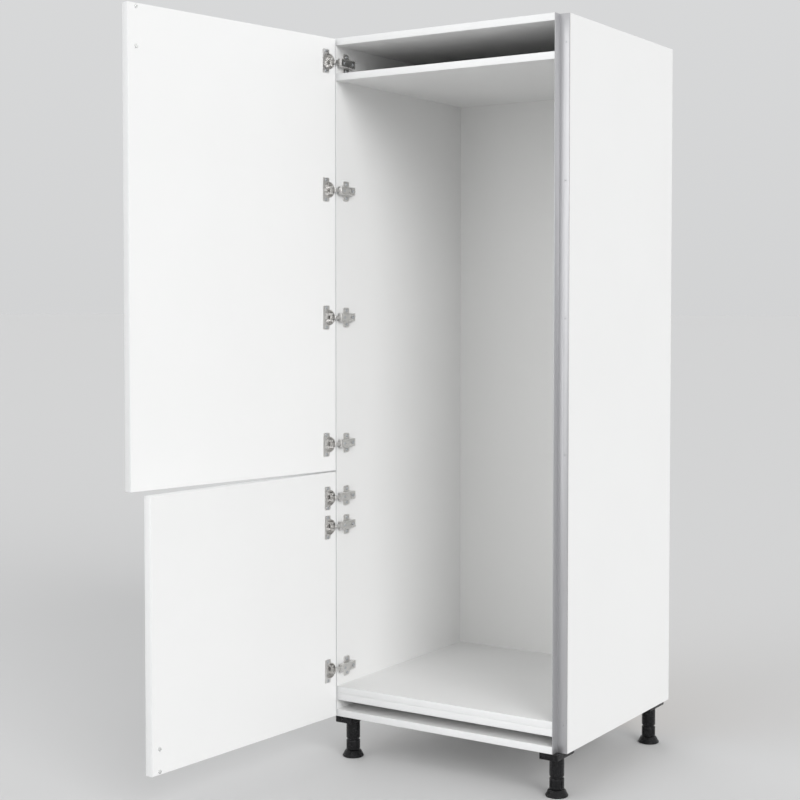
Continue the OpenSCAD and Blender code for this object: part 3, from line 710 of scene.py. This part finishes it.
def hinge_cup():
    """A deep-drawn cup with its rolled rim, screw flange and the two ears that hold the pin."""
    cup_box = solid_boxes("upper_hinge_cups", DOORS["upper"].inverted())[0]
    high = on_pin(cup_box)[1]
    flange_t, flange_w, flange_out = 1 * MM, 20 * MM, 19.5 * MM
    cup_x, door_face, half = high.x - flange_out, high.y - flange_t, high.z
    cup_r, cup_wall, cup_depth = 17.4 * MM, 0.8 * MM, 13 * MM
    within_r, within_depth = cup_r - cup_wall, cup_depth - cup_wall
    rim_r, rim_top = cup_r + 0.6 * MM, flange_t
    outside = [(cup_r - 1.5 * MM, -cup_depth), (cup_r - 0.3 * MM, -cup_depth + 0.4 * MM),
               (cup_r, -cup_depth + 1.2 * MM), (cup_r, -0.02 * MM)]
    rim = [(rim_r, 0), (rim_r, rim_top - 0.3 * MM), (rim_r - 0.25 * MM, rim_top - 0.05 * MM),
           (rim_r - 0.7 * MM, rim_top), (within_r + 0.2 * MM, rim_top - 0.15 * MM)]
    inside = [(within_r, rim_top - 0.6 * MM), (within_r, -within_depth + 0.8 * MM),
              (within_r - 0.3 * MM, -within_depth + 0.2 * MM), (within_r - 1 * MM, -within_depth),
              (6 * MM, -within_depth), (5.4 * MM, -within_depth + 0.5 * MM),
              (2 * MM, -within_depth + 0.6 * MM)]
    cup = turned("cup", outside + rim + inside)
    flange = block("flange", (flange_out - flange_w, -half, 0), (flange_out, half, flange_t))
    corner_r, lip = 3 * MM, 0.35 * MM
    round_edges(flange, lambda e: edge_along(e, 2), corner_r, 6)
    round_edges(flange, lambda e: edge_middle(e).z > 0.9 * flange_t, lip, 2)
    cut(flange, rod("bore", (0, 0, 0), cup_r - 0.2 * MM, 10 * MM, 64))
    united(cup, flange)
    ear_half_w, ear_half_t, ear_off, ear_drop = 2.2 * MM, 2.5 * MM, 7.3 * MM, 1.8 * MM
    for side in (-1, 1):
        ear_low = (-cup_x - ear_half_w, side * ear_off - ear_half_t, -within_depth - 0.2 * MM)
        ear_high = (-cup_x + ear_half_w, side * ear_off + ear_half_t, -ear_drop)
        ear = block("ear", ear_low, ear_high)
        top_edges = lambda e: edge_along(e, 1) and edge_middle(e).z > -ear_drop - WELD
        round_edges(ear, top_edges, 2 * MM, 5)
        combine(ear, rod("within", (0, 0, -6 * MM), within_r + 0.3 * MM, 20 * MM, 64), "INTERSECT")
        united(cup, ear)
    smooth(cup, 30)
    tilt = Matrix.Rotation(math.radians(-90), 4, "X")
    return moved(cup, Matrix.Translation((cup_x, door_face, 0)) @ tilt)


def hinge_arm():
    """A pressed arm: an eye round the pin, a bent neck and a channel with a slot for its screw."""
    low, high = on_pin(solid_boxes("upper_hinge_arms")[0])
    rear, top, half = high.y, high.x, high.z
    arm_l, sheet, play = 54 * MM, 1.4 * MM, 0.5 * MM
    front = rear - arm_l
    under = LEFT_HIGH.x - PIVOT.x + PLATE_T + play
    channel = block("channel", (under, front, -half), (top, rear, half))
    shoulder_r, end_r, bend_r = 2.2 * MM, 1.6 * MM, 2.6 * MM
    on_top = lambda e: edge_middle(e).x > top - WELD
    round_edges(channel, lambda e: on_top(e) and edge_along(e, 1), shoulder_r, 5)
    round_edges(channel, lambda e: on_top(e) and edge_along(e, 2), end_r, 4)
    underside = lambda f: f.normal.x < -NEARLY
    rear_end = lambda f: f.normal.y > NEARLY and len(f.verts) > 6
    edit(channel, "FACE", lambda f: underside(f) or rear_end(f))
    bpy.ops.mesh.delete(type="FACE")
    close_edit()
    apply_modifier(channel, "SOLIDIFY", thickness=sheet, offset=-1)
    slot_half, slot_r = 2.3 * MM, 2.2 * MM
    slot_front, slot_rear = rear - 16 * MM, rear - 3.5 * MM
    slot = block("slot", (top - 2 * sheet, slot_front, -slot_half),
                 (top + sheet, slot_rear, slot_half))
    round_edges(slot, lambda e: edge_along(e, 0), slot_r, 5)
    cut(channel, slot)
    neck_near, neck_far, neck_half, neck_t = 11.5 * MM, 15.5 * MM, 4 * MM, 1.8 * MM
    neck_low = low.y
    neck_high = neck_low + neck_t
    into_front, into_upright = 1 * MM, 2 * MM
    upright = block("upright", (neck_near, neck_low, -neck_half),
                    (neck_far, front + into_front, neck_half))
    foot = block("foot", (0, neck_low, -neck_half),
                 (neck_near + into_upright, neck_high, neck_half))
    united(upright, foot)
    far_edge = lambda e: edge_along(e, 2) and edge_middle(e).x > neck_far - WELD
    round_edges(upright, lambda e: far_edge(e) and edge_middle(e).y < 0, bend_r, 6)
    eye_r, eye_l, pin_r = 2.2 * MM, 9 * MM, 1.25 * MM
    united(upright, rod("eye", (0, 0, 0), eye_r, eye_l))
    cut(upright, rod("pin_hole", (0, 0, 0), pin_r, 12 * MM, 32))
    united(channel, upright)
    soften(channel, 0.25 * MM)
    return channel


def mounting_plate():
    """A cross plate on the side panel, with a round-edged rib that the arm's channel straddles."""
    low, high = on_pin(solid_boxes("upper_mounting_plates")[0])
    wall, half = low.x, high.z
    line = LEFT_LOW.y - BAND_T + PLATE_LINE - PIVOT.y
    half_w, rib_half, corner_r, lip = 11 * MM, 7.3 * MM, 4 * MM, 0.5 * MM
    face = wall + PLATE_T
    plate = block("plate", (wall, line - half_w, -half), (face, line + half_w, half))
    round_edges(plate, lambda e: edge_along(e, 0), corner_r, 6)
    round_edges(plate, lambda e: edge_middle(e).x > face - WELD, lip, 2)
    rib = block("rib", (wall, low.y, -rib_half), (high.x, high.y, rib_half))
    round_edges(rib, lambda e: edge_middle(e).x > high.x - WELD, lip, 2)
    united(plate, rib)
    smooth(plate)
    return plate


def hinges():
    for door, turn in DOORS.items():
        heights = [(low.z + high.z) / 2 for low, high in solid_boxes(door + "_hinge_pins")]
        places = [Matrix.Translation((PIVOT.x, PIVOT.y, z)) for z in heights]
        cups = copies(door + "_cup_set", hinge_cup(), places)
        moved(cups, turn)
        finished(cups, nickel, door + "_door_leaf", "hinge_metal", door + "_hinge_cups")
        arms = copies(door + "_arm_set", hinge_arm(), places)
        finished(arms, nickel, "carcass", "hinge_metal", door + "_hinge_arms")
        plates = copies(door + "_plate_set", mounting_plate(), places)
        finished(plates, nickel, "carcass", "hinge_metal", door + "_mounting_plates")


# Buffers

def buffers():
    for door, turn in DOORS.items():
        node = door + "_door_buffers"
        boxes = solid_boxes(node, turn.inverted())
        low, high = boxes[0]
        radius, tall = (high.x - low.x) / 2, high.y - low.y
        dome = [(radius, 0), (radius, 0.35 * tall), (0.93 * radius, 0.62 * tall),
                (0.75 * radius, 0.86 * tall), (0.4 * radius, tall)]
        tilt = Matrix.Rotation(math.radians(-90), 4, "X")
        places = [Matrix.Translation(((a.x + b.x) / 2, a.y, (a.z + b.z) / 2)) @ tilt
                  for a, b in boxes]
        piece = copies(door + "_buffer_set", turned("dome", dome, 40), places)
        smooth(piece, 60)
        moved(piece, turn)
        finished(piece, clear_plastic, door + "_door_leaf", "buffer", node)


# Feet, modelled with the leg's axis on Z

def leg_head():
    """A moulded plate with softened corners and a socket for the sleeve's plug."""
    low, high = solid_boxes("leg_heads")[0]
    half = (high - low) / 2
    piece = block("head", (-half.x, -half.y, low.z), (half.x, half.y, high.z))
    corner_r, lip, play, socket_l = 2 * MM, 1 * MM, 0.1 * MM, 9.3 * MM
    round_edges(piece, lambda e: edge_along(e, 2), corner_r, 5)
    round_edges(piece, lambda e: edge_middle(e).z < low.z + WELD, lip, 3)
    cut(piece, rod("plug_socket", (0, 0, low.z), PLUG_R + play, 2 * socket_l, 64))
    smooth(piece)
    return piece


def leg_sleeve():
    """A sleeve with its plug on top, a plain bore for the stem and room for the collar."""
    low, high = solid_boxes("leg_sleeves")[0]
    radius = (high.x - low.x) / 2
    head_low = solid_boxes("leg_heads")[0][0].z
    bore_r, plug_wall, collar_room_r, collar_room_l = 8.1 * MM, 4 * MM, 13.8 * MM, 4.5 * MM
    shell = [(collar_room_r, low.z), (radius - 2 * MM, low.z),
             (radius - 1.1 * MM, low.z + 0.25 * MM), (radius - 0.35 * MM, low.z + 0.9 * MM),
             (radius, low.z + 2.2 * MM)]
    shell += [(radius, head_low), (PLUG_R, head_low), (PLUG_R, high.z)]
    piece = turned("sleeve", shell)
    bore_l = high.z - plug_wall - low.z
    cut(piece, rod("stem_bore", (0, 0, low.z), bore_r, 2 * bore_l))
    cut(piece, rod("collar_room", (0, 0, low.z), collar_room_r, 2 * collar_room_l))
    smooth(piece, 30)
    return piece


def adjuster():
    """Spigot, knob with eight finger flutes, collar and stem, from the bottom up."""
    low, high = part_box("front_left_adjuster")
    radius = (high.x - low.x) / 2
    spigot_r, spigot_l, knob_h = 9 * MM, 6 * MM, 24 * MM
    collar_r, collar_h, stem_r, stem_taper = 13.5 * MM, 3.5 * MM, 8 * MM, 1 * MM
    knob_low = low.z + spigot_l
    knob_high = knob_low + knob_h
    collar_high = knob_high + collar_h
    flute_end = 5 * MM
    spigot = [(spigot_r, low.z), (spigot_r, knob_low)]
    knob = [(radius - 2 * MM, knob_low), (radius - 0.6 * MM, knob_low + 0.6 * MM),
            (radius, knob_low + 2 * MM), (radius, knob_low + flute_end),
            (radius, knob_high - flute_end), (radius, knob_high - 2.2 * MM),
            (radius - 0.7 * MM, knob_high - 0.9 * MM), (radius - 2.2 * MM, knob_high)]
    collar = [(collar_r, knob_high), (collar_r, collar_high)]
    stem = [(stem_r, collar_high), (stem_r, high.z - stem_taper), (stem_r - stem_taper, high.z)]
    piece = turned("adjuster", spigot + knob + collar + stem)
    middle = (knob_low + knob_high) / 2
    flute_deg, flute_half_deg, flute_edge, flute_share = 360 / 8, 4, 0.4 * MM, 0.93

    def in_flute(face):
        centre = face.calc_center_median()
        angle = math.degrees(math.atan2(centre.y, centre.x)) % flute_deg
        within_height = abs(centre.z - middle) < flute_end and abs(face.normal.z) < 1 - NEARLY
        return within_height and abs(angle - flute_deg / 2) < flute_half_deg

    edit(piece, "FACE", in_flute)
    bpy.ops.mesh.inset(thickness=flute_edge, depth=0)
    bpy.ops.mesh.extrude_region_move(TRANSFORM_OT_translate={"value": (0, 0, 0)})
    bpy.ops.transform.resize(value=(flute_share, flute_share, 1), center_override=(0, 0, middle))
    close_edit()
    smooth(piece, 30)
    return piece


def foot_pad():
    """A flared disc with a round edge, and a socket that holds the adjuster's spigot."""
    low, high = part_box("front_left_pad")
    radius = (high.x - low.x) / 2
    lip, rim, socket_r, socket_l = 16 * MM, 2.5 * MM, 9.1 * MM, 8.8 * MM
    top = high.z
    arc = [math.radians(a) for a in range(-80, 61, 20)]
    rings = [(radius - rim, low.z)]
    rings += [(radius - rim + rim * math.cos(a), low.z + rim + rim * math.sin(a)) for a in arc]
    rings += [(lip + 3 * MM, top - 2.2 * MM), (lip + 0.6 * MM, top - 0.5 * MM),
              (lip - 0.6 * MM, top), (lip - 1.6 * MM, top),
              (lip - 2 * MM, top - 0.5 * MM), (lip - 2 * MM, top - 2.4 * MM)]
    piece = turned("pad", rings)
    cut(piece, rod("socket", (0, 0, top), socket_r, 2 * socket_l))
    smooth(piece, 40)
    return piece


def feet():
    axes = {leg: sum(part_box(leg + "_pad"), Vector()) / 2 for leg in LEGS}
    spots = {leg: Matrix.Translation((axes[leg].x, axes[leg].y, 0)) for leg in LEGS}
    heads = copies("leg_head_set", leg_head(), spots.values())
    seats(heads, "leg_head_screws", (2, -1), LEG_SHANK_R, LEG_HEAD_H)
    finished(heads, foot_plastic, "carcass", "foot_plastic", "leg_heads")
    finished(copies("leg_sleeve_set", leg_sleeve(), spots.values()), foot_plastic, "carcass",
             "foot_plastic", "leg_sleeves")
    for leg, spot in spots.items():
        knob = copies(leg + "_knob", adjuster(), [spot])
        finished(knob, foot_plastic, leg + "_foot", "foot_plastic", leg + "_adjuster")
        pad = copies(leg + "_foot_pad", foot_pad(), [spot])
        finished(pad, foot_plastic, leg + "_foot", "foot_plastic", leg + "_pad")


# Camera, floor and light

def camera():
    """The drawing's eye: right of the cabinet, nearly level, its frame shifted down to the feet."""
    right_of_middle, ahead_of_middle, above_underside = 1.741, 3.111, 0.9454
    down_tilt_deg, turn_deg = 2.12, 33.17
    deselect()
    bpy.ops.object.camera_add(
        location=(right_of_middle, -ahead_of_middle, LEFT_LOW.z + above_underside),
        rotation=(math.radians(90 - down_tilt_deg), 0, math.radians(turn_deg)))
    eye = bpy.context.object
    eye.data.lens = 68.1
    eye.data.sensor_width = 36
    eye.data.shift_y = -0.045
    bpy.context.scene.camera = eye


def floor():
    deselect()
    far = 400
    bpy.ops.mesh.primitive_plane_add(size=far, location=(0, 0, FLOOR_Z))
    piece = settled("studio_floor")
    pale = (0.62, 0.62, 0.62)
    material = material_of("pale_floor", pale, roughness=0.9, Specular_IOR_Level=0)[0]
    piece.data.materials.append(material)


def lamp_at(kind, name, spot, target, power):
    deselect()
    bpy.ops.object.light_add(type=kind, location=spot)
    lamp = bpy.context.object
    lamp.name = name
    lamp.rotation_euler = (Vector(target) - Vector(spot)).to_track_quat("-Z", "Y").to_euler()
    lamp.data.energy = power
    return lamp


def wide_light(name, spot, target, power, spread_deg):
    """Soft even light that reaches the floor everywhere alike, so it leaves no edge on it."""
    lamp = lamp_at("SUN", name, spot, target, power)
    lamp.data.angle = math.radians(spread_deg)
    lamp.visible_glossy = False


def reflector(name, spot, target, size, power):
    """A bright panel that only the glossy parts show."""
    lamp = lamp_at("AREA", name, spot, target, power)
    lamp.data.shape = "RECTANGLE"
    lamp.data.size, lamp.data.size_y = size
    lamp.visible_diffuse = False
    lamp.visible_camera = False


def light():
    world = bpy.data.worlds.new("studio")
    bpy.context.scene.world = world
    world.use_nodes = True
    tree = world.node_tree
    sky = tree.nodes["Background"]
    sky.inputs["Strength"].default_value = 0.94
    height = tree.nodes.new("ShaderNodeSeparateXYZ")
    tree.links.new(tree.nodes.new("ShaderNodeTexCoord").outputs["Generated"], height.inputs[0])
    full_light_height = 0.6
    rise = tree.nodes.new("ShaderNodeMapRange")
    rise.inputs["From Max"].default_value = full_light_height
    tree.links.new(height.outputs["Z"], rise.inputs["Value"])
    low, high = (0.69, 0.695, 0.70), (0.80, 0.805, 0.81)
    tree.links.new(two_colors(tree, rise.outputs["Result"], low, high), sky.inputs["Color"])
    middle = (0, -0.2, 0.7)
    low_corner = (0.2, -0.3, 0.0)
    wide_light("key", (3.2, -2.2, 2.3), middle, power=1.60, spread_deg=35)
    wide_light("fill", (-1.4, -4.0, 1.9), middle, power=0.60, spread_deg=40)
    wide_light("rim", (-3.2, 2.4, 2.1), middle, power=0.6, spread_deg=40)
    reflector("key_panel", (3.6, -2.4, 2.6), middle, size=(1.8, 1.8), power=30)
    reflector("fill_panel", (-1.4, -4.0, 1.6), middle, size=(2.6, 2.6), power=30)
    reflector("streak", (2.6, -3.9, 0.5), low_corner, size=(0.25, 2.6), power=16)
    bpy.context.scene.view_settings.view_transform = "Standard"


camera()
dress_cad_nodes()
carcass_bands()
for leaf, swing in DOORS.items():
    door_bands(leaf, swing)
recess_profile()
all_screws()
hinges()
buffers()
feet()
floor()
light()
